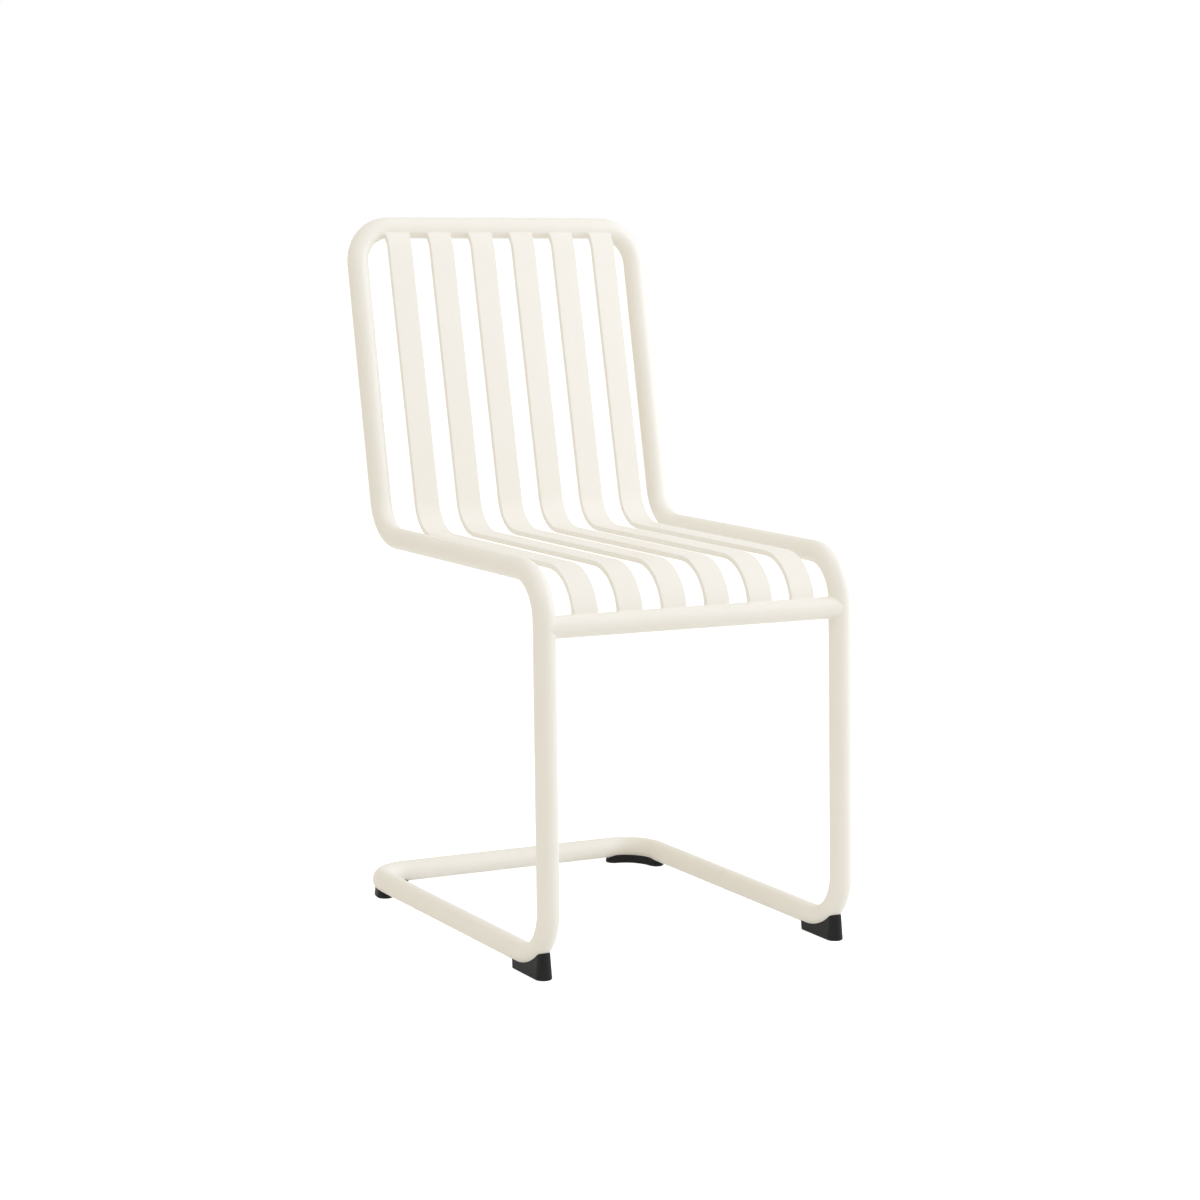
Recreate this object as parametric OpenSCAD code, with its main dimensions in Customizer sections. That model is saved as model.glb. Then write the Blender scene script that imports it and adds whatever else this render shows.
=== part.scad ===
// Outdoor cantilever chair: a loop of bent round tube with formed flat slats and moulded glides.
// Millimetres. The origin is on the floor, midway across the overall width and depth.
// +X is to the right as seen from the front, +Y to the rear, +Z up.

/* [Frame tube] */
// Outside diameter of the frame tube
tube_d = 25; // [22:0.5:28]
// Wall of the frame tube
tube_wall = 2; // [1.5:0.1:3]
// Width between the axes of the two side tubes
frame_w = 376; // [364:2:440]
// Floor frame, from the front corner to the axis of the rear rail
base_len = 457; // [430:1:500]
// Height of the seat tube's top above the floor, at the front corner
seat_h = 453; // [430:1:480]
// Seat tube from the front corner to the corner of the back
seat_len = 400; // [370:1:430]
// Fall of the seat tube towards the back, in degrees
seat_drop = 0.6; // [0:0.1:4]
// Lean of the front legs to the rear, in degrees
leg_lean = 3; // [0:0.1:5]
// Back tube from the corner of the seat to the axis of the top rail
back_len = 368; // [330:1:420]
// Lean of the back from the vertical, in degrees
recline = 13.5; // [8:0.5:18]

/* [Frame bends] */
// Bend between floor runner and front leg, on the tube axis
foot_bend_r = 56; // [50:1:64]
// Bend between front leg and seat tube, on the tube axis
knee_bend_r = 54; // [48:1:62]
// Bend between seat tube and back, on the tube axis
seat_bend_r = 50; // [44:1:70]
// Bend between back and top rail, on the tube axis
crown_bend_r = 44; // [38:1:56]
// Bend between floor runner and rear rail, on the tube axis
heel_bend_r = 44; // [38:1:56]

/* [Joint sleeves] */
// Length of the sleeve inside each butt joint of the frame
sleeve_len = 60; // [40:1:90]
// Wall of the sleeve
sleeve_wall = 2; // [1:0.1:3]
// Gap between the sleeve and the bore of the tube
sleeve_clear = 0.15; // [0.1:0.05:0.3]

/* [Front crossbar] */
// Outside diameter of the crossbar
bar_d = 25; // [20:0.5:28]
// Wall of the crossbar
bar_wall = 2; // [1.5:0.1:3]
// Crossbar axis below the corner of leg and seat, along the leg
bar_drop = 58; // [54:0.5:70]

/* [Slats] */
// Width of a slat
slat_w = 31; // [24:0.5:36]
// Thickness of a slat
slat_t = 6; // [4:0.5:8]
// Radius of a slat's long edges
slat_edge_r = 1.5; // [0.5:0.1:1.9]
// Distance from the middle of one slat to the next
slat_pitch = 55.2; // [48:0.2:57]
// Slat ahead of the back tubes' axes, at the top rail
back_lead_top = 13.5; // [10:0.5:16]
// Slat ahead of the back tubes' axes, at the corner of the seat
back_lead_seat = 21; // [14:0.5:26]
// Slat above the seat tubes' axes, at the back of the seat
seat_rise_rear = 1.8; // [-4:0.1:6]
// Slat above the seat tubes' axes, at the front of the seat
seat_rise_front = 0.4; // [-4:0.1:6]
// Bend of a slat between seat and back, on its middle plane
slat_seat_bend_r = 46; // [36:1:60]
// Bend of a slat over the front of the seat, on its middle plane
slat_nose_r = 57; // [36:1:60]
// Length of a slat's crook, where its top turns back to the rail
crook_len = 16; // [14:0.5:22]
// Bend of the crook, on the slat's middle plane
crook_r = 40; // [24:1:42]

/* [Glides] */
// Thickness of a glide between the floor and the underside of the tube
glide_base = 6.5; // [5:0.5:9]
// Width of a glide at the floor
glide_w = 20; // [16:0.5:22]
// Draft of the moulded sides and nose, in degrees
glide_draft = 5; // [1:0.5:6]
// Chamfer round the sole
glide_chamfer = 1; // [0.5:0.1:1.5]
// Rounding of the nose's upper edge
glide_nose_edge_r = 2.5; // [1:0.1:4]
// Front glide's nose behind the front corner of the frame
nose_back = 3; // [0:0.5:6]
// Height of the front glide's nose
nose_h = 30; // [26:0.5:34]
// Length of the front glide's sole
front_glide_len = 63; // [56:1:72]
// Lean of the front glides' cut ends, in degrees
glide_end_lean = 16; // [0:1:20]
// Bend of a rear glide between the middles of its round ends, in degrees
rear_glide_sweep = 78; // [64:1:90]

/* [Glide screws] */
// Diameter of the screw's shank
screw_d = 4; // [3:0.5:4.5]
// Diameter of the countersunk head
screw_head_d = 8; // [7:0.5:9]
// Length of the screw under its head
screw_len = 8; // [6:0.5:12]
// Plastic between the head's seat and the tube
screw_grip = 2; // [1.5:0.1:2.5]
// Gap round the shank and the head in the glide
screw_clear = 0.2; // [0.1:0.05:0.4]
// Gap round the shank in the wall of the tube
pilot_clear = 0.05; // [0.02:0.01:0.1]
// Width of the hexagon socket in the head
socket_af = 2.5; // [2:0.5:3]
// Depth of the socket
socket_depth = 1.6; // [1:0.1:2]
// Rear screw of a front glide, ahead of the end of its sole
front_screw_inset = 9; // [7:0.5:12]
// Distance between the two screws of a front glide
front_screw_pitch = 20; // [14:1:24]
// Each screw of a rear glide, turned in from its end of the bend, in degrees
rear_screw_angle = 18; // [8:1:30]

/* [Hidden] */

$fn = 72;
LEFT = -1;
RIGHT = 1;
cream = [0.93, 0.91, 0.86];
black = [0.09, 0.09, 0.09];
steel = [0.72, 0.73, 0.75];

tube_r = tube_d / 2;
bore_r = tube_r - tube_wall;
bar_r = bar_d / 2;
side_x = frame_w / 2;
runner_z = glide_base + tube_r;
nose_edge_steps = 5;
// How far a cutting tool reaches past the surface that it opens
past = 1;
// Share of the section's size that a bend has, so that its ends lie within the straights' by some micrometres
bend_scale = 0.9998;
slat_count = 6;

// Corners of the frame's axis in side view, as [depth, height] from the front corner of the floor frame
foot = [0, runner_z];
knee = [(seat_h - tube_r - runner_z) * tan(leg_lean), seat_h - tube_r];
seat_dir = [cos(seat_drop), -sin(seat_drop)];
hip = knee + seat_len * seat_dir;
back_dir = [sin(recline), cos(recline)];
crown = hip + back_len * back_dir;
heel = [base_len, runner_z];
foot_centre = [setback(90 + leg_lean, foot_bend_r), runner_z + foot_bend_r];
front_depth = foot_centre.x - foot_bend_r - tube_r;
rear_depth = max(crown.x, heel.x) + tube_r;
mid_depth = (front_depth + rear_depth) / 2;

// Bending list of half the frame, from the middle of the top rail to the middle of the rear rail.
// Each bend is [turn of the bending plane, angle, radius on the axis], and each feed a straight length.
side_corners = [crown, hip, knee, foot, heel];
side_radii = [seat_bend_r, knee_bend_r, foot_bend_r];
side_feeds = feeds(side_corners, side_radii);
frame_feeds = [side_x - crown_bend_r, side_feeds[0] - crown_bend_r, side_feeds[1], side_feeds[2],
               side_feeds[3] - heel_bend_r, side_x - heel_bend_r];
frame_bends = [[0, 90, crown_bend_r],
               [-90, abs(turn_at(side_corners, 1)), seat_bend_r],
               [180, abs(turn_at(side_corners, 2)), knee_bend_r],
               [0, abs(turn_at(side_corners, 3)), foot_bend_r],
               [-90, 90, heel_bend_r]];

// The crossbar's axis lies on the legs' axes
bar = knee + bar_drop * unit(foot - knee);

// Corners of a slat's middle plane in side view
back_normal = left_of(back_dir);
seat_normal = left_of(seat_dir);
slat_back_top = crown + back_lead_top * back_normal;
slat_back_low = hip + back_lead_seat * back_normal;
slat_seat_rear = hip + seat_rise_rear * seat_normal;
slat_seat_front = knee + seat_rise_front * seat_normal;
slat_crook = slat_back_top + crook_len * unit(slat_back_low - slat_back_top);
slat_hip = crossing(slat_back_top, slat_back_low, slat_seat_front, slat_seat_rear);
slat_knee = crossing(slat_seat_front, slat_seat_rear, bar, bar + [0, 1]);
slat_path = [crown, slat_crook, slat_hip, slat_knee, bar];
// The nose bend ends at the crossbar's axis at the latest
nose_r = min(slat_nose_r, norm(slat_knee - bar) / tan(abs(turn_at(slat_path, 3)) / 2));

glide_r = glide_w / 2;
nose_y = nose_back + glide_r;
sole_end = nose_back + front_glide_len;
front_screw_rear_y = sole_end - front_screw_inset;
front_screw_ys = [front_screw_rear_y, front_screw_rear_y - front_screw_pitch];
rear_screw_angles = [rear_screw_angle, 90 - rear_screw_angle];
heel_centre = [side_x - heel_bend_r, heel.x - heel_bend_r];
screw_r = screw_d / 2;
screw_head_r = screw_head_d / 2;
// The flanks of the head lie at 45 degrees
screw_head_h = screw_head_r - screw_r;

// Plane geometry of bends

function unit(v) = v / norm(v);
function left_of(v) = [-v.y, v.x];
function heading(a, b) = atan2(b.y - a.y, b.x - a.x);
function wrapped(angle) = angle > 180 ? angle - 360 : angle < -180 ? angle + 360 : angle;
// Signed turn at corner i of a path
function turn_at(path, i) = wrapped(heading(path[i], path[i + 1]) - heading(path[i - 1], path[i]));
// Distance from a corner to each end of its bend
function setback(angle, r) = r * tan(angle / 2);
function setback_at(path, radii, i) = i == 0 || i == len(path) - 1
    ? 0
    : setback(abs(turn_at(path, i)), radii[i - 1]);
// Straight lengths between the bends of a path
function feeds(path, radii) = [for (i = [1 : len(path) - 1])
    norm(path[i] - path[i - 1]) - setback_at(path, radii, i - 1) - setback_at(path, radii, i)];
// Bends of a path that starts with its left-hand side on the x of the section
function bends(path, radii) = [for (i = [1 : len(path) - 2])
    let (before = i == 1 ? 1 : sign(turn_at(path, i - 1)))
    [sign(turn_at(path, i)) == before ? 0 : 180, abs(turn_at(path, i)), radii[i - 1]]];
function cross2(u, v) = u.x * v.y - u.y * v.x;
// Where the line through a and b meets the line through c and d
function crossing(a, b, c, d) = a + (b - a) * cross2(c - a, d - c) / cross2(b - a, d - c);
// Height of the frame tube's underside over a point of the front glide
function underside(y) = y >= foot_centre.x
    ? glide_base
    : foot_centre.y - sqrt(pow(foot_bend_r + tube_r, 2) - pow(foot_centre.x - y, 2));
// Depth of the frame tube's axis at a height in the foot bend
function axis_depth(z) = foot_centre.x - sqrt(pow(foot_bend_r, 2) - pow(foot_centre.y - z, 2));

// Placing

// The part is drawn on the right and mirrored to the left
module on_side(side) {
    mirror([side == LEFT ? 1 : 0, 0, 0]) children();
}

// A bent run grows along z, and each bend turns it towards the x of its section, as on a tube bender

module bend(angle, r) {
    spare = 1;
    reach = 2 * r + slat_w;
    difference() {
        translate([r, 0, 0]) rotate([90, 0, 180])
            rotate_extrude(angle = angle + spare)
                translate([r, 0]) scale(bend_scale) children();
        translate([r, 0, 0]) rotate([0, angle, 0]) translate([-reach, -reach, 0])
            cube([2 * reach, 2 * reach, reach]);
    }
}

module bent(feeds, bends, i = 0) {
    linear_extrude(feeds[i]) children();
    if (i < len(bends)) {
        r = bends[i][2];
        translate([0, 0, feeds[i]]) rotate([0, 0, bends[i][0]]) {
            bend(bends[i][1], r) children();
            translate([r, 0, 0]) rotate([0, bends[i][1], 0]) translate([-r, 0, 0])
                bent(feeds, bends, i + 1) children();
        }
    }
}

// A run along corners in side view
module side_run(path, radii) {
    translate([0, path[0].x - mid_depth, path[0].y]) rotate([heading(path[0], path[1]) - 90, 0, 0])
        rotate([0, 0, -90]) bent(feeds(path, radii), bends(path, radii)) children();
}

// From the middle of a rail to the right and round its corner into the plane that is tilted by the angle
module rail_run(place, tilt, feeds, bends) {
    translate([0, place.x - mid_depth, place.y]) rotate([tilt, 0, 0]) rotate([0, 90, 0])
        bent(feeds, bends) children();
}

// Frame

module half_frame_run() {
    rail_run(crown, -recline, frame_feeds, frame_bends) children();
}

module top_corner_run() {
    rail_run(crown, -recline, [frame_feeds[0], frame_feeds[1]], [frame_bends[0]]) children();
}

module rear_corner_run() {
    rail_run(heel, -90, [frame_feeds[5], frame_feeds[4]], [[0, 90, heel_bend_r]]) children();
}

module side_frame(side) {
    color(cream) on_side(side) difference() {
        half_frame_run() circle(tube_r);
        half_frame_run() circle(bore_r);
        screw_places() translate([0, 0, -past]) cylinder(r = screw_r + pilot_clear, h = screw_len + past);
    }
}

module joint_sleeve(place) {
    outer_r = bore_r - sleeve_clear;
    color(steel) translate([-sleeve_len / 2, place.x - mid_depth, place.y]) rotate([0, 90, 0]) difference() {
        cylinder(r = outer_r, h = sleeve_len);
        translate([0, 0, -past]) cylinder(r = outer_r - sleeve_wall, h = sleeve_len + 2 * past);
    }
}

// The length of a leg that meets the crossbar, solid
module leg_top_solid(side) {
    on_side(side) translate([side_x, 0, 0])
        side_run([hip, knee, knee + 2 * bar_drop * unit(foot - knee)], [knee_bend_r]) circle(tube_r);
}

module bar_solid(r, reach = 0) {
    translate([-side_x - reach, bar.x - mid_depth, bar.y]) rotate([0, 90, 0])
        cylinder(r = r, h = frame_w + 2 * reach);
}

module front_crossbar() {
    color(cream) difference() {
        bar_solid(bar_r);
        bar_solid(bar_r - bar_wall, past);
        leg_top_solid(LEFT);
        leg_top_solid(RIGHT);
    }
}

// Slats

module slat_section() {
    square([slat_t, slat_w - 2 * slat_edge_r], center = true);
    square([slat_t - 2 * slat_edge_r, slat_w], center = true);
    for (x = [-1, 1], y = [-1, 1])
        translate([x * (slat_t / 2 - slat_edge_r), y * (slat_w / 2 - slat_edge_r)]) circle(slat_edge_r);
}

module slat(number) {
    color(cream) difference() {
        translate([(number - (slat_count + 1) / 2) * slat_pitch, 0, 0])
            side_run(slat_path, [crook_r, slat_seat_bend_r, nose_r]) slat_section();
        on_side(LEFT) top_corner_run() circle(tube_r);
        on_side(RIGHT) top_corner_run() circle(tube_r);
        bar_solid(bar_r);
    }
}

// Glides

// Half of a glide's section, from its middle plane outwards and from the sole upwards
module glide_half_section(height, edge_r) {
    side_x_at = function (z) glide_r - z * tan(glide_draft);
    polygon(concat(
        [[0, 0], [glide_r - glide_chamfer, 0], [side_x_at(glide_chamfer), glide_chamfer]],
        [for (i = [0 : nose_edge_steps]) let (a = 90 * i / nose_edge_steps)
            [side_x_at(height - edge_r) - edge_r * (1 - cos(a)), height - edge_r * (1 - sin(a))]],
        [[0, height]]));
}

module glide_section(height, edge_r) {
    glide_half_section(height, edge_r);
    mirror([1, 0]) glide_half_section(height, edge_r);
}

// Screw axes on the right-hand side, each at the underside of the tube's wall less the length in the glide
module screw_places() {
    for (y = front_screw_ys)
        translate([side_x, y - mid_depth, underside(y) - screw_grip]) children();
    for (a = rear_screw_angles)
        translate([heel_centre.x, heel_centre.y - mid_depth, glide_base - screw_grip])
            rotate([0, 0, a]) translate([heel_bend_r, 0, 0]) children();
}

// The way for a screw and its driver, from below the sole to the tube
module screw_way() {
    head_r = screw_head_r + screw_clear;
    shank_r = screw_r + screw_clear;
    cylinder(r = shank_r, h = screw_grip + tube_r);
    translate([0, 0, shank_r - head_r]) cylinder(r1 = head_r, r2 = shank_r, h = head_r - shank_r);
    translate([0, 0, shank_r - head_r - runner_z]) cylinder(r = head_r, h = runner_z);
}

// Side view of the front glide: up the slanted end to the tube's axis and along it to the nose
module front_glide_side() {
    end_top = sole_end + runner_z * tan(glide_end_lean);
    polygon([[nose_back, 0], [sole_end, 0], [end_top, runner_z], [max(foot_centre.x, sole_end), runner_z],
             [axis_depth(nose_h), nose_h], [nose_back, nose_h]]);
}

module front_glide(side) {
    reach = front_glide_len + runner_z;
    color(black) on_side(side) difference() {
        intersection() {
            translate([side_x, nose_y - mid_depth, 0]) {
                rotate([0, 0, 180]) rotate_extrude(angle = 180) glide_half_section(nose_h, glide_nose_edge_r);
                rotate([90, 0, 180]) linear_extrude(reach) glide_section(nose_h, glide_nose_edge_r);
            }
            translate([side_x, -mid_depth, 0]) rotate([90, 0, 90])
                linear_extrude(2 * glide_w, center = true) front_glide_side();
        }
        translate([side_x, 0, 0]) side_run([knee, foot, heel], [foot_bend_r]) circle(tube_r);
        screw_places() screw_way();
    }
}

module rear_glide(side) {
    start = (90 - rear_glide_sweep) / 2;
    spare = 1;
    color(black) on_side(side) difference() {
        translate([heel_centre.x, heel_centre.y - mid_depth, 0]) {
            rotate([0, 0, start - spare]) rotate_extrude(angle = rear_glide_sweep + 2 * spare)
                translate([heel_bend_r, 0]) scale(bend_scale) glide_section(runner_z, glide_nose_edge_r);
            for (end = [0, 1])
                rotate([0, 0, start + end * rear_glide_sweep]) translate([heel_bend_r, 0, 0])
                    rotate([0, 0, 180 * (1 - end)]) rotate_extrude(angle = 180)
                        glide_half_section(runner_z, glide_nose_edge_r);
        }
        rear_corner_run() circle(tube_r);
        screw_places() screw_way();
    }
}

module glide_screw() {
    difference() {
        union() {
            translate([0, 0, -screw_head_h]) cylinder(r1 = screw_head_r, r2 = screw_r, h = screw_head_h);
            cylinder(r = screw_r, h = screw_len);
        }
        translate([0, 0, -screw_head_h - past])
            cylinder(r = socket_af / sqrt(3), h = socket_depth + past, $fn = 6);
    }
}

module glide_screws() {
    color(steel) for (side = [LEFT, RIGHT]) on_side(side) screw_places() glide_screw();
}

side_frame(LEFT);  // side_frame_left
side_frame(RIGHT);  // side_frame_right
joint_sleeve(crown);  // top_rail_sleeve
joint_sleeve(heel);  // rear_rail_sleeve
front_crossbar();
slat(1);  // slat_1
slat(2);  // slat_2
slat(3);  // slat_3
slat(4);  // slat_4
slat(5);  // slat_5
slat(6);  // slat_6
front_glide(LEFT);  // front_glide_left
front_glide(RIGHT);  // front_glide_right
rear_glide(LEFT);  // rear_glide_left
rear_glide(RIGHT);  // rear_glide_right
glide_screws();
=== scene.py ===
"""Outdoor cantilever chair: powder-coated tube and slats, ground welds, moulded glides and a pale studio.

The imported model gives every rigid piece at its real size. This file dresses those pieces, adds the welds
that join them, and sets up the floor, the lights and the camera. Lengths are in metres.
"""

import logging
import math
from dataclasses import dataclass, field
from enum import Enum
from typing import Iterable, Sequence

import bmesh
import bpy
from mathutils import Matrix, Vector


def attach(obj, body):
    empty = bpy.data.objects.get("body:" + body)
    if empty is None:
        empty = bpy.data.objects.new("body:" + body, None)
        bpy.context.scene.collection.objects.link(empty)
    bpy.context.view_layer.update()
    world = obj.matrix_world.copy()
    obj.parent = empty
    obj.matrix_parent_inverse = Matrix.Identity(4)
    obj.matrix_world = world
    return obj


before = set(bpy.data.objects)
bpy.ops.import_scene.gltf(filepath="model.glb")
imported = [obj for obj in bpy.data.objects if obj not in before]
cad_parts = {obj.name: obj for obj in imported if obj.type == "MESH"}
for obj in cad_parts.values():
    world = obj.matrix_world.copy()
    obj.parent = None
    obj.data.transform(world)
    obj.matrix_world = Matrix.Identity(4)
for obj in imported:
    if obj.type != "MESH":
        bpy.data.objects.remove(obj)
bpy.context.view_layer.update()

log = logging.getLogger("chair")

MM = 0.001
BODY = "root"
SHARP = math.radians(35)


class Side(Enum):
    """Left and right as seen from the front, with left at negative x."""

    LEFT = -1
    RIGHT = 1


# Small tools


def srgb(colour: str) -> tuple[float, float, float, float]:
    """Turns an sRGB hex colour to linear.

    Args:
        colour: Six hex digits after a hash sign.

    Returns:
        Red, green, blue and alpha, as the shader takes them.
    """
    channels = [int(colour[i:i + 2], 16) / 255 for i in (1, 3, 5)]
    linear = [c / 12.92 if c <= 0.04045 else ((c + 0.055) / 1.055) ** 2.4 for c in channels]
    return (linear[0], linear[1], linear[2], 1.0)


def add_node(tree: bpy.types.NodeTree, kind: str, settings: dict[str, object] | None = None,
             values: dict[str | int, object] | None = None,
             links: dict[str | int, bpy.types.NodeSocket] | None = None) -> bpy.types.Node:
    """Adds one shader node.

    Args:
        tree: The material's or the world's node tree.
        kind: The node's type name.
        settings: The node's own properties.
        values: Default values of its inputs, by socket name or number.
        links: Sockets that feed its inputs, by socket name or number.

    Returns:
        The new node.
    """
    node = tree.nodes.new(kind)
    for name, value in (settings or {}).items():
        setattr(node, name, value)
    for name, value in (values or {}).items():
        node.inputs[name].default_value = value
    for name, socket in (links or {}).items():
        tree.links.new(socket, node.inputs[name])
    return node


def new_material(name: str) -> tuple[bpy.types.Material, bpy.types.NodeTree]:
    """Makes an empty node material.

    Args:
        name: The material's name.

    Returns:
        The material and its node tree.
    """
    material = bpy.data.materials.new(name)
    material.use_nodes = True
    material.node_tree.nodes.clear()
    return material, material.node_tree


def finish_surface(material: bpy.types.Material, tree: bpy.types.NodeTree,
                   shader: bpy.types.Node) -> bpy.types.Material:
    """Joins the shader to the material's output.

    Args:
        material: The material to finish.
        tree: Its node tree.
        shader: The node whose first output is the surface.

    Returns:
        The same material.
    """
    add_node(tree, "ShaderNodeOutputMaterial", links={"Surface": shader.outputs[0]})
    return material


def looked_at(tree: bpy.types.NodeTree) -> bpy.types.NodeSocket:
    """Tells a straight look or a mirrored one from the light that falls on other things.

    Args:
        tree: The material's or the world's node tree.

    Returns:
        A socket that is 1 for camera, glossy and transmission rays and 0 for the others.
    """
    path = add_node(tree, "ShaderNodeLightPath")
    mirrored = add_node(tree, "ShaderNodeMath", {"operation": "MAXIMUM"},
                        links={0: path.outputs["Is Camera Ray"], 1: path.outputs["Is Glossy Ray"]})
    either = add_node(tree, "ShaderNodeMath", {"operation": "MAXIMUM"},
                      links={0: mirrored.outputs["Value"], 1: path.outputs["Is Transmission Ray"]})
    return either.outputs["Value"]


def blend(tree: bpy.types.NodeTree, first: str, second: str,
          share: bpy.types.NodeSocket) -> bpy.types.NodeSocket:
    """Blends two colours.

    Args:
        tree: The material's or the world's node tree.
        first: Hex colour where the share is 0.
        second: Hex colour where the share is 1.
        share: The share of the second colour.

    Returns:
        The blended colour.
    """
    mix = add_node(tree, "ShaderNodeMix", {"data_type": "RGBA"}, {"A": srgb(first), "B": srgb(second)},
                   {"Factor": share})
    return mix.outputs["Result"]


def spread(tree: bpy.types.NodeTree, pattern: bpy.types.NodeSocket, low: float,
           high: float) -> bpy.types.NodeSocket:
    """Spreads a pattern over a range.

    Args:
        tree: The material's or the world's node tree.
        pattern: Values from 0 to 1.
        low: The result where the pattern is 0.
        high: The result where the pattern is 1.

    Returns:
        Values from low to high.
    """
    ramp = add_node(tree, "ShaderNodeMapRange", values={"To Min": low, "To Max": high},
                    links={"Value": pattern})
    return ramp.outputs["Result"]


@dataclass(frozen=True)
class Noise:
    """A cloudy pattern: the size of its clouds, and how many levels of finer ones lie in them."""

    size_mm: float
    detail: float

    def add(self, tree: bpy.types.NodeTree, place: bpy.types.NodeSocket) -> bpy.types.NodeSocket:
        """Adds the pattern to a material.

        Args:
            tree: The material's node tree.
            place: Coordinates in metres.

        Returns:
            Values from 0 to 1.
        """
        clouds = add_node(tree, "ShaderNodeTexNoise",
                          values={"Scale": 1 / (self.size_mm * MM), "Detail": self.detail},
                          links={"Vector": place})
        return clouds.outputs["Fac"]


@dataclass(frozen=True)
class Relief:
    """A fine roughness of a surface: its depth, and how much of it shows in the light."""

    depth_mm: float
    strength: float

    def add(self, tree: bpy.types.NodeTree, height: bpy.types.NodeSocket) -> bpy.types.NodeSocket:
        """Adds the relief to a material.

        Args:
            tree: The material's node tree.
            height: Values from 0 in the hollows to 1 on the crests.

        Returns:
            The bent normal.
        """
        bump = add_node(tree, "ShaderNodeBump",
                        values={"Strength": self.strength, "Distance": self.depth_mm * MM},
                        links={"Height": height})
        return bump.outputs["Normal"]


def mesh_object(name: str, mesh: bmesh.types.BMesh, material: bpy.types.Material,
                smooth: bool = True) -> bpy.types.Object:
    """Turns a bmesh to an object at the origin.

    Args:
        name: The object's name.
        mesh: The finished bmesh, which is freed.
        material: Its one material.
        smooth: Shade the faces smooth.

    Returns:
        The new object, linked to the scene.
    """
    data = bpy.data.meshes.new(name)
    mesh.to_mesh(data)
    mesh.free()
    data.materials.append(material)
    if smooth:
        data.shade_smooth()
        data.set_sharp_from_angle(angle=SHARP)
    piece = bpy.data.objects.new(name, data)
    bpy.context.scene.collection.objects.link(piece)
    return piece


def dress(nodes: Iterable[str], material: bpy.types.Material) -> None:
    """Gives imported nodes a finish.

    Args:
        nodes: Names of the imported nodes.
        material: The finish.
    """
    for name in nodes:
        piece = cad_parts[name]
        for place in piece.material_slots:
            place.material = material
        if not piece.material_slots:
            piece.data.materials.append(material)
        log.info("%s wears %s", name, material.name)


# Finishes


@dataclass(frozen=True)
class PowderCoat:
    """Polyester powder coat on galvanised steel: satin, with a faint orange peel and fine grain.

    The resin's gloss is soft and wide, so tubes show a broad light band and no sharp glints.
    """

    name: str = "powder_coat"
    cream: str = "#F2EEE4"
    cream_thick: str = "#F0EBE0"
    ior: float = 1.5
    drift: Noise = Noise(size_mm=90.0, detail=2.0)
    peel: Noise = Noise(size_mm=2.2, detail=1.5)
    grain: Noise = Noise(size_mm=0.55, detail=2.0)
    grain_share: float = 0.4
    relief: Relief = Relief(depth_mm=0.02, strength=0.35)
    # Roughness in the hollows of the grain and on its crests
    roughness: tuple[float, float] = (0.41, 0.53)

    def make(self) -> bpy.types.Material:
        """Builds the material.

        Returns:
            The powder coat.
        """
        material, tree = new_material(self.name)
        place = add_node(tree, "ShaderNodeTexCoord").outputs["Object"]
        # The film gathers a little thicker in slow waves, which shifts the tone by a hair
        tone = blend(tree, self.cream, self.cream_thick, self.drift.add(tree, place))
        # Orange peel of the melted resin, and over it the grain of the powder, drawn at its real size
        grain = self.grain.add(tree, place)
        height = add_node(tree, "ShaderNodeMix", {"data_type": "FLOAT"}, {"Factor": self.grain_share},
                          {"A": self.peel.add(tree, place), "B": grain})
        shader = add_node(tree, "ShaderNodeBsdfPrincipled", values={"IOR": self.ior},
                          links={"Base Color": tone, "Roughness": spread(tree, grain, *self.roughness),
                                 "Normal": self.relief.add(tree, height.outputs["Result"])})
        return finish_surface(material, tree, shader)


@dataclass(frozen=True)
class MouldedPlastic:
    """Black polypropylene, injection moulded in a spark-eroded tool: matte, with a fine even grain."""

    name: str = "black_plastic"
    black: str = "#141414"
    scuffed: str = "#1D1D1C"
    ior: float = 1.49
    # The grain's pits swallow most of the gloss
    gloss_level: float = 0.2
    grain_mm: float = 0.5
    grain_smoothness: float = 0.6
    relief: Relief = Relief(depth_mm=0.05, strength=0.5)
    wear: Noise = Noise(size_mm=9.0, detail=5.0)
    # The wear pattern's values where scuffs begin and where they are full
    scuffs: tuple[float, float] = (0.5, 0.72)
    # Roughness where the plastic is least worn and where it is most worn
    roughness: tuple[float, float] = (0.49, 0.63)

    def make(self) -> bpy.types.Material:
        """Builds the material.

        Returns:
            The moulded plastic.
        """
        material, tree = new_material(self.name)
        place = add_node(tree, "ShaderNodeTexCoord").outputs["Object"]
        grain = add_node(tree, "ShaderNodeTexVoronoi", {"feature": "SMOOTH_F1"},
                         {"Scale": 1 / (self.grain_mm * MM), "Smoothness": self.grain_smoothness},
                         {"Vector": place})
        wear = self.wear.add(tree, place)
        worn = add_node(tree, "ShaderNodeMapRange",
                        values={"From Min": self.scuffs[0], "From Max": self.scuffs[1]},
                        links={"Value": wear})
        shader = add_node(tree, "ShaderNodeBsdfPrincipled",
                          values={"IOR": self.ior, "Specular IOR Level": self.gloss_level},
                          links={"Base Color": blend(tree, self.black, self.scuffed, worn.outputs["Result"]),
                                 "Roughness": spread(tree, wear, *self.roughness),
                                 "Normal": self.relief.add(tree, grain.outputs["Distance"])})
        return finish_surface(material, tree, shader)


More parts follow.
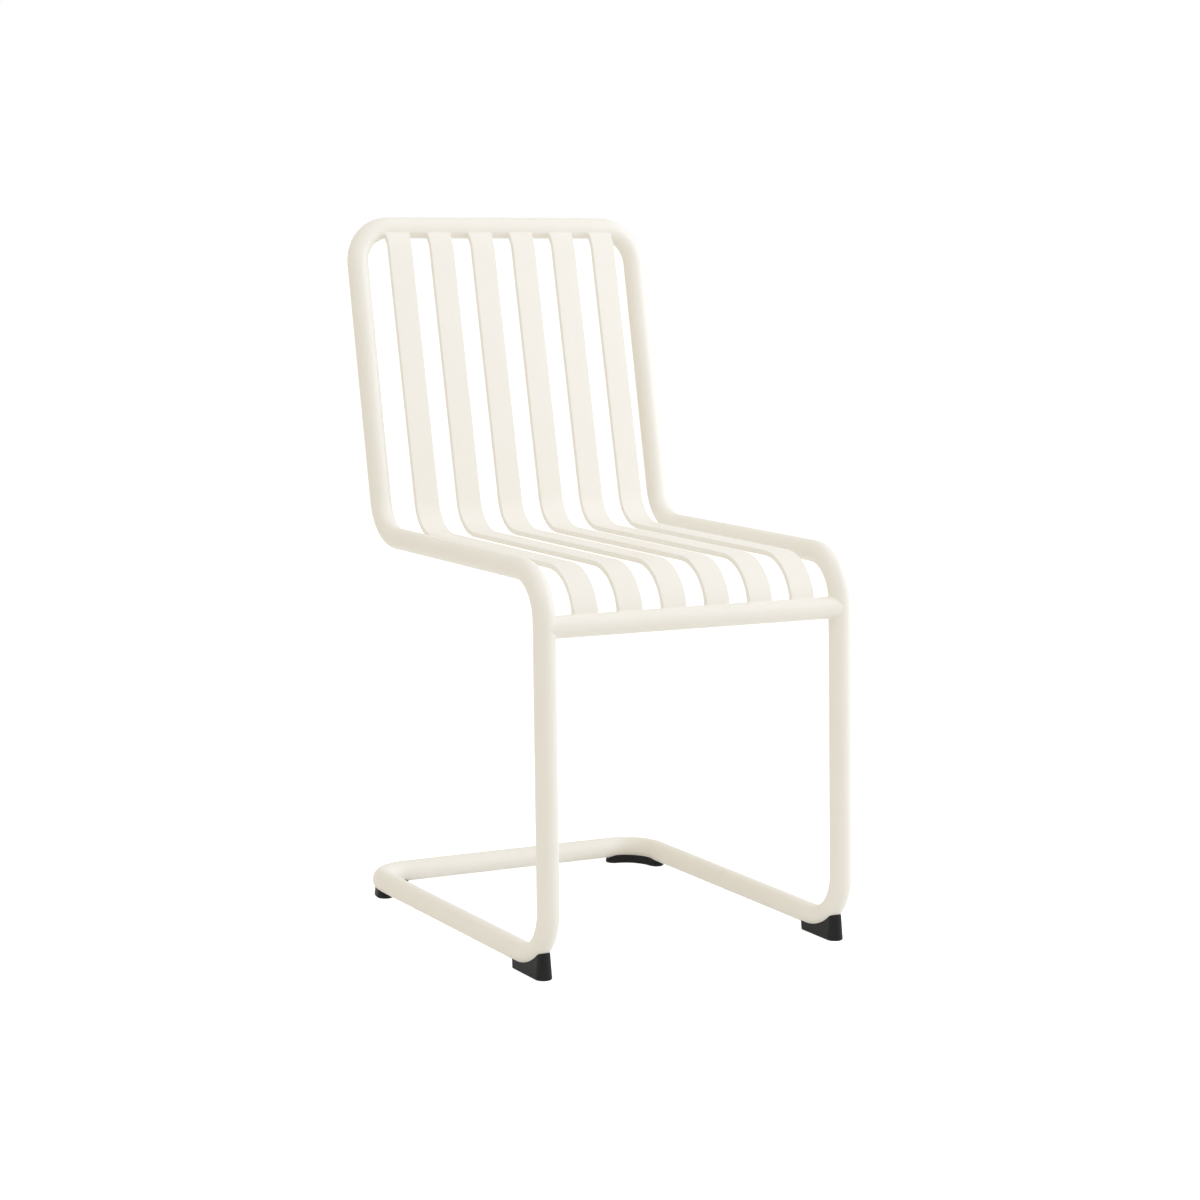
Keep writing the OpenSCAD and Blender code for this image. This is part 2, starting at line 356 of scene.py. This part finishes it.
@dataclass(frozen=True)
class ZincPlate:
    """Bright zinc on cold-headed steel screws: metallic, faintly blue, with a soft cloudy gloss."""

    name: str = "zinc_screws"
    zinc: str = "#B9BCC0"
    dull: str = "#A3A6AA"
    cloud: Noise = Noise(size_mm=1.2, detail=4.0)
    # Roughness of the bright clouds and of the dull ones
    roughness: tuple[float, float] = (0.24, 0.42)

    def make(self) -> bpy.types.Material:
        """Builds the material.

        Returns:
            The zinc plate.
        """
        material, tree = new_material(self.name)
        cloud = self.cloud.add(tree, add_node(tree, "ShaderNodeTexCoord").outputs["Object"])
        shader = add_node(tree, "ShaderNodeBsdfPrincipled", values={"Metallic": 1.0},
                          links={"Base Color": blend(tree, self.zinc, self.dull, cloud),
                                 "Roughness": spread(tree, cloud, *self.roughness)})
        return finish_surface(material, tree, shader)


@dataclass(frozen=True)
class DrawnSteel:
    """Bare cold-drawn steel tube, grey and metallic, with fine draw lines along its length."""

    name: str = "bare_steel"
    bright: str = "#8E9092"
    dark: str = "#6F7173"
    roughness: float = 0.38
    lines: Noise = Noise(size_mm=0.4, detail=3.0)
    # The sleeves lie along x, and their draw lines are this many times longer than wide
    stretch: float = 40.0
    relief: Relief = Relief(depth_mm=0.01, strength=0.3)

    def make(self) -> bpy.types.Material:
        """Builds the material.

        Returns:
            The drawn steel.
        """
        material, tree = new_material(self.name)
        place = add_node(tree, "ShaderNodeTexCoord").outputs["Object"]
        drawn = add_node(tree, "ShaderNodeMapping", values={"Scale": Vector((1 / self.stretch, 1.0, 1.0))},
                         links={"Vector": place})
        lines = self.lines.add(tree, drawn.outputs["Vector"])
        shader = add_node(tree, "ShaderNodeBsdfPrincipled",
                          values={"Metallic": 1.0, "Roughness": self.roughness},
                          links={"Base Color": blend(tree, self.bright, self.dark, lines),
                                 "Normal": self.relief.add(tree, lines)})
        return finish_surface(material, tree, shader)


@dataclass(frozen=True)
class PaperSweep:
    """White seamless paper, which stays white to the camera and keeps the chair's soft shadow."""

    name: str = "white_paper"
    white: str = "#F4F4F4"
    # Light that is added to what the camera and mirrors see of the paper
    lift: float = 0.62

    def make(self) -> bpy.types.Material:
        """Builds the material.

        Returns:
            The paper.
        """
        material, tree = new_material(self.name)
        paper = add_node(tree, "ShaderNodeBsdfDiffuse", values={"Color": srgb(self.white)})
        strength = add_node(tree, "ShaderNodeMath", {"operation": "MULTIPLY"}, {1: self.lift},
                            {0: looked_at(tree)})
        lift = add_node(tree, "ShaderNodeEmission", links={"Strength": strength.outputs["Value"]})
        both = add_node(tree, "ShaderNodeAddShader", links={0: paper.outputs[0], 1: lift.outputs[0]})
        return finish_surface(material, tree, both)


# Welds


@dataclass(frozen=True)
class Carrier:
    """A round tube that a weld lies on: a straight stretch of its axis, and the bend that it runs into."""

    start: Vector
    along: Vector
    inward: Vector
    bend_r: float
    radius: float

    def axis_near(self, point: Vector) -> Vector:
        """Finds the point of the tube's axis that is nearest to a point.

        Args:
            point: Any point near the tube.

        Returns:
            The nearest point of the straight stretch or of the bend.
        """
        run = (point - self.start).dot(self.along)
        if run <= 0:
            return self.start + self.along * run
        centre = self.start + self.inward * self.bend_r
        spoke = point - centre
        spoke -= spoke.project(self.along.cross(self.inward))
        return centre + spoke.normalized() * self.bend_r


@dataclass(frozen=True)
class RunEnd:
    """The end of a bar or slat that is welded to a tube: out from the tube's axis, and into its own bend.

    A bar without a bend is straight without end, and its bend radius has no effect.
    """

    start: Vector
    along: Vector
    inward: Vector
    straight: float = math.inf
    bend_r: float = 1.0

    @property
    def across(self) -> Vector:
        """The direction of the section's width."""
        return self.along.cross(self.inward)

    def section_at(self, run: float) -> tuple[Vector, Vector]:
        """Gives the pose of the section.

        Args:
            run: Length along the bar from the tube's axis.

        Returns:
            The middle of the section, and the direction of its thickness.
        """
        turn = max(0.0, run - self.straight) / self.bend_r
        middle = self.start + self.along * min(run, self.straight)
        middle += (self.along * math.sin(turn) + self.inward * (1 - math.cos(turn))) * self.bend_r
        return middle, self.inward * math.cos(turn) - self.along * math.sin(turn)


@dataclass(frozen=True)
class RimPoint:
    """A point on the rim of a section, across its width and its thickness, and the way out of it there."""

    wide: float
    thick: float
    out: tuple[float, float]


@dataclass(frozen=True)
class Weld:
    """A weld ground hollow, to the fillet that a ball leaves when it rolls round a bar's end on a tube."""

    end: RunEnd
    carrier: Carrier
    ball_r: float
    arc_steps: int = 8
    # The fillet sinks into both surfaces by this much, and its root by a little more
    sink: float = 0.03 * MM
    root: float = 0.5 * MM
    least_arc: float = math.radians(9)
    halvings: int = 40

    def ball_at(self, point: RimPoint, run: float) -> tuple[Vector, Vector]:
        """Places the ball against the bar.

        Args:
            point: Where it touches the bar's rim.
            run: Length along the bar from the tube's axis.

        Returns:
            The ball's middle, and the way out of the bar there.
        """
        middle, thick = self.end.section_at(run)
        out = self.end.across * point.out[0] + thick * point.out[1]
        return middle + self.end.across * point.wide + thick * point.thick + out * self.ball_r, out

    def gap(self, point: RimPoint, run: float) -> float:
        """Gives the distance from the ball to the tube, which is negative where they cut each other."""
        ball, _ = self.ball_at(point, run)
        return (ball - self.carrier.axis_near(ball)).length - self.carrier.radius - self.ball_r

    def section(self, point: RimPoint) -> list[Vector]:
        """Rolls the ball down the bar to the tube and draws the fillet's section there.

        Args:
            point: Where the ball touches the bar's rim.

        Returns:
            The arc from bar to tube and the root inside the metal, or nothing where the surfaces hardly part.
        """
        low, high = 0.0, 2 * (self.carrier.radius + self.ball_r)
        if self.gap(point, low) >= 0:
            return []
        for _ in range(self.halvings):
            run = (low + high) / 2
            low, high = (run, high) if self.gap(point, run) < 0 else (low, run)
        ball, out = self.ball_at(point, low)
        to_bar = -out
        to_tube = (self.carrier.axis_near(ball) - ball).normalized()
        if to_bar.angle(to_tube) < self.least_arc:
            return []
        reach = self.ball_r + self.sink
        arc = [ball + to_bar.slerp(to_tube, i / self.arc_steps) * reach for i in range(self.arc_steps + 1)]
        middle = (to_bar + to_tube) / 2
        return arc + [ball + middle.normalized() * (self.ball_r / middle.length + self.root)]

    def build(self, rim: Sequence[RimPoint], closed: bool) -> bmesh.types.BMesh:
        """Extrudes the fillet's section from point to point of the rim.

        Args:
            rim: Points in order round the bar's section.
            closed: The last point joins the first.

        Returns:
            The weld as a closed shell.
        """
        sections = [section for section in map(self.section, rim) if section]
        mesh = bmesh.new()
        ring = [mesh.verts.new(place) for place in sections[0]]
        edges = first = [mesh.edges.new((ring[i - 1], ring[i])) for i in range(len(ring))]
        for section in sections[1:]:
            order = {vert: i for i, vert in enumerate(ring)}
            out = bmesh.ops.extrude_edge_only(mesh, edges=edges)["geom"]
            for vert in [item for item in out if isinstance(item, bmesh.types.BMVert)]:
                index = next(order[edge.other_vert(vert)] for edge in vert.link_edges
                             if edge.other_vert(vert) in order)
                vert.co = section[index]
                ring[index] = vert
            edges = [item for item in out if isinstance(item, bmesh.types.BMEdge)]
        if closed:
            bmesh.ops.bridge_loops(mesh, edges=first + edges)
        else:
            bmesh.ops.holes_fill(mesh, edges=first + edges, sides=0)
        bmesh.ops.recalc_face_normals(mesh, faces=mesh.faces)
        return mesh


def join(meshes: Sequence[bmesh.types.BMesh]) -> bmesh.types.BMesh:
    """Puts several bmeshes into one.

    Args:
        meshes: The bmeshes, of which all but the first are freed.

    Returns:
        The first one, with the others' faces added.
    """
    whole = meshes[0]
    for other in meshes[1:]:
        data = bpy.data.meshes.new("joined")
        other.to_mesh(data)
        other.free()
        whole.from_mesh(data)
        bpy.data.meshes.remove(data)
    return whole


# The chair


@dataclass(frozen=True)
class ChairLines:
    """Axis lines of the chair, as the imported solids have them."""

    tube_r: float = 12.5 * MM
    side_x: float = 188.0 * MM
    bar: Vector = field(default_factory=lambda: Vector((0.0, -236.440, 382.579)) * MM)
    rail: Vector = field(default_factory=lambda: Vector((0.0, 252.481, 794.143)) * MM)
    leg_lean: float = math.radians(3.0)
    recline: float = math.radians(13.5)
    # The leg's bend starts this far above the crossbar
    knee_rise: float = 6.216 * MM
    knee_r: float = 54.0 * MM
    crown_r: float = 44.0 * MM

    def leg(self, side: Side) -> Carrier:
        """Gives a front leg and the bend over it, which turns to the rear."""
        up = Vector((0, math.sin(self.leg_lean), math.cos(self.leg_lean)))
        rear = Vector((0, math.cos(self.leg_lean), -math.sin(self.leg_lean)))
        foot = self.bar + Vector((side.value * self.side_x, 0, 0))
        return Carrier(foot + up * self.knee_rise, up, rear, self.knee_r, self.tube_r)

    def crossbar(self) -> Carrier:
        """Gives the crossbar as a straight stretch past both legs, so the bend is never reached."""
        past = self.bar + Vector((2 * self.side_x, 0, 0))
        return Carrier(past, Vector((1, 0, 0)), Vector((0, 0, 1)), self.side_x, self.tube_r)

    def top_rail(self, side: Side) -> Carrier:
        """Gives the top rail towards one side and the corner that turns down there."""
        down = Vector((0, -math.sin(self.recline), -math.cos(self.recline)))
        out = Vector((side.value, 0, 0))
        corner = self.rail + out * (self.side_x - self.crown_r)
        return Carrier(corner, out, down, self.crown_r, self.tube_r)


@dataclass
class TubeFrame:
    """The bent tube, its crossbar and the sleeves inside its butt joints."""

    lines: ChairLines
    coat: bpy.types.Material
    steel: bpy.types.Material
    weld_r: float = 2.5 * MM
    rim_steps: int = 40

    def leg_weld(self, side: Side) -> bmesh.types.BMesh:
        """Makes the weld round the coped end of the crossbar.

        It has an upper and a lower half, which run out at front and back, where the two tubes are tangent.

        Args:
            side: Which leg.

        Returns:
            The weld.
        """
        line = self.lines
        end = RunEnd(line.bar + Vector((side.value * line.side_x, 0, 0)), Vector((-side.value, 0, 0)),
                     Vector((0, 0, 1)))
        weld = Weld(end, line.leg(side), self.weld_r)
        halves = []
        for start in (0, math.pi):
            turns = [start + math.pi * i / self.rim_steps for i in range(self.rim_steps + 1)]
            rim = [RimPoint(line.tube_r * math.cos(a), line.tube_r * math.sin(a), (math.cos(a), math.sin(a)))
                   for a in turns]
            halves.append(weld.build(rim, closed=False))
        return join(halves)

    def build(self) -> None:
        """Dresses the tube and adds the crossbar's welds."""
        dress(("side_frame_left", "side_frame_right", "front_crossbar"), self.coat)
        dress(("top_rail_sleeve", "rear_rail_sleeve"), self.steel)
        for side in Side:
            piece = mesh_object(f"crossbar_weld_{side.name.lower()}", self.leg_weld(side), self.coat)
            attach(piece, BODY)
            log.info("built %s", piece.name)


@dataclass
class Slats:
    """The six formed flat bars and the welds at their ends."""

    lines: ChairLines
    coat: bpy.types.Material
    count: int = 6
    pitch: float = 55.2 * MM
    width: float = 31.0 * MM
    thick: float = 6.0 * MM
    edge_r: float = 1.5 * MM
    nose_weld_r: float = 1.5 * MM
    crook_weld_r: float = 2.5 * MM
    corner_steps: int = 4
    weld_step: float = 2.0 * MM
    # Each end leaves the tube's axis straight for a little way before its bend starts
    nose_straight: float = 0.943 * MM
    nose_r: float = 57.0 * MM
    crook_fall: float = math.radians(35.663)
    crook_straight: float = 6.715 * MM
    crook_r: float = 40.0 * MM

    def rim(self) -> list[RimPoint]:
        """Goes round a slat's section.

        Returns:
            Points on the rounded edges and along the faces between them.
        """
        flat_w, flat_t = self.width / 2 - self.edge_r, self.thick / 2 - self.edge_r
        corners = [(flat_w, flat_t), (-flat_w, flat_t), (-flat_w, -flat_t), (flat_w, -flat_t)]
        points = []
        for corner, (wide, thick) in enumerate(corners):
            for step in range(self.corner_steps + 1):
                turn = math.radians(90 * (corner + step / self.corner_steps))
                out = (math.cos(turn), math.sin(turn))
                points.append(RimPoint(wide + self.edge_r * out[0], thick + self.edge_r * out[1], out))
            last = points[-1]
            goal_w, goal_t = corners[(corner + 1) % len(corners)]
            run_w, run_t = goal_w - wide, goal_t - thick
            parts = round(math.hypot(run_w, run_t) / self.weld_step)
            points += [RimPoint(last.wide + run_w * i / parts, last.thick + run_t * i / parts, last.out)
                       for i in range(1, parts)]
        return points

    def crossbar_weld(self, middle: Vector) -> bmesh.types.BMesh:
        """Makes the weld where a slat comes down on the crossbar.

        Args:
            middle: The slat's middle across the chair.

        Returns:
            The weld.
        """
        end = RunEnd(self.lines.bar + middle, Vector((0, 0, 1)), Vector((0, 1, 0)),
                     self.nose_straight, self.nose_r)
        return Weld(end, self.lines.crossbar(), self.nose_weld_r).build(self.rim(), closed=True)

    def rail_weld(self, middle: Vector) -> bmesh.types.BMesh:
        """Makes the weld where a slat's crook meets the top rail or the start of its corner.

        Args:
            middle: The slat's middle across the chair.

        Returns:
            The weld.
        """
        fall = self.crook_fall
        end = RunEnd(self.lines.rail + middle, Vector((0, -math.cos(fall), -math.sin(fall))),
                     Vector((0, math.sin(fall), -math.cos(fall))), self.crook_straight, self.crook_r)
        side = Side.RIGHT if middle.x > 0 else Side.LEFT
        return Weld(end, self.lines.top_rail(side), self.crook_weld_r).build(self.rim(), closed=True)

    def build(self) -> None:
        """Dresses the slats and adds their welds."""
        dress([f"slat_{i + 1}" for i in range(self.count)], self.coat)
        middles = [Vector(((i - (self.count - 1) / 2) * self.pitch, 0, 0)) for i in range(self.count)]
        for end, make in (("crossbar", self.crossbar_weld), ("top_rail", self.rail_weld)):
            piece = mesh_object(f"slat_welds_{end}", join([make(middle) for middle in middles]), self.coat)
            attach(piece, BODY)
            log.info("built %s", piece.name)


@dataclass
class Glides:
    """The moulded glides under the frame and their screws."""

    plastic: bpy.types.Material
    zinc: bpy.types.Material

    def build(self) -> None:
        """Dresses the glides and the screws."""
        glides = [f"{end}_glide_{side.name.lower()}" for end in ("front", "rear") for side in Side]
        dress(glides, self.plastic)
        dress(["glide_screws"], self.zinc)


# The studio


@dataclass(frozen=True)
class SoftBox:
    """One large lamp with a cool daylight tint, which points at the middle of the chair."""

    name: str
    place: tuple[float, float, float]
    size: float
    power: float
    target: tuple[float, float, float] = (0.0, 0.0, 0.4)
    colour: str = "#D9E5FF"

    def hang(self) -> None:
        """Adds the lamp."""
        lamp = bpy.data.lights.new(self.name, "AREA")
        lamp.shape = "SQUARE"
        lamp.size = self.size
        lamp.energy = self.power
        lamp.color = srgb(self.colour)[:3]
        holder = bpy.data.objects.new(self.name, lamp)
        aim = Vector(self.target) - Vector(self.place)
        turn = aim.to_track_quat("-Z", "Y").to_matrix().to_4x4()
        holder.matrix_world = Matrix.Translation(Vector(self.place)) @ turn
        bpy.context.scene.collection.objects.link(holder)
        log.info("hung %s", self.name)


@dataclass
class Camera:
    """The photograph's camera, from points of the chair matched between the two."""

    azimuth: float = math.radians(-29.31)
    elevation: float = math.radians(8.09)
    roll: float = math.radians(0.771)
    distance: float = 3.3823
    target: Vector = field(default_factory=lambda: Vector((0.0, -0.0355, 0.3851)))
    lens_mm: float = 88.01
    sensor_mm: float = 36.0
    shift: tuple[float, float] = (-0.00530, -0.00735)
    clip: tuple[float, float] = (0.05, 100.0)

    def place(self) -> None:
        """Adds the camera and makes it the scene's."""
        back = Vector((math.sin(self.azimuth) * math.cos(self.elevation),
                       -math.cos(self.azimuth) * math.cos(self.elevation), math.sin(self.elevation)))
        right = Vector((0, 0, 1)).cross(back).normalized()
        up = back.cross(right)
        right, up = (right * math.cos(self.roll) + up * math.sin(self.roll),
                     up * math.cos(self.roll) - right * math.sin(self.roll))
        data = bpy.data.cameras.new("camera")
        data.sensor_fit = "HORIZONTAL"
        data.sensor_width = self.sensor_mm
        data.lens = self.lens_mm
        data.shift_x, data.shift_y = self.shift
        data.clip_start, data.clip_end = self.clip
        holder = bpy.data.objects.new("camera", data)
        turn = Matrix((right, up, back)).transposed().to_4x4()
        holder.matrix_world = Matrix.Translation(self.target + back * self.distance) @ turn
        bpy.context.scene.collection.objects.link(holder)
        bpy.context.scene.camera = holder


@dataclass
class Studio:
    """White paper floor, soft lamps and a pale surround."""

    floor_size: float = 60.0
    surround: float = 0.694
    warmth: str = "#FFF8E7"
    white: str = "#FFFFFF"
    lamps: tuple[SoftBox, ...] = (
        SoftBox("key", place=(2.669, -1.541, 1.837), size=2.2, power=42.4),
        SoftBox("side", place=(1.443, -0.126, 0.788), size=1.1, power=3.75),
        SoftBox("top", place=(0.2, -0.2, 3.4), size=2.6, power=12.0),
        SoftBox("fill", place=(-1.6, -1.3, 2.6), size=1.8, power=16.5),
    )

    def lay_floor(self) -> None:
        """Adds the floor, which is not attached to the chair's body."""
        mesh = bmesh.new()
        bmesh.ops.create_grid(mesh, x_segments=1, y_segments=1, size=self.floor_size / 2)
        floor = mesh_object("floor", mesh, PaperSweep().make(), smooth=False)

    def light(self) -> None:
        """Adds the lamps and the surround, which is white to the camera."""
        for lamp in self.lamps:
            lamp.hang()
        world = bpy.data.worlds.new("studio")
        world.use_nodes = True
        tree = world.node_tree
        tree.nodes.clear()
        seen = looked_at(tree)
        sky = add_node(tree, "ShaderNodeBackground",
                       links={"Color": blend(tree, self.warmth, self.white, seen),
                              "Strength": spread(tree, seen, self.surround, 1.0)})
        add_node(tree, "ShaderNodeOutputWorld", links={"Surface": sky.outputs[0]})
        bpy.context.scene.world = world

    def build(self) -> None:
        """Sets the studio up."""
        self.lay_floor()
        self.light()
        bpy.context.scene.view_settings.view_transform = "Standard"


def main() -> None:
    """Builds the chair and the studio."""
    logging.basicConfig(level=logging.INFO, format="%(name)s: %(message)s")
    Camera().place()
    lines = ChairLines()
    coat = PowderCoat().make()
    TubeFrame(lines, coat, DrawnSteel().make()).build()
    Slats(lines, coat).build()
    Glides(MouldedPlastic().make(), ZincPlate().make()).build()
    Studio().build()


if __name__ == "__main__":
    main()
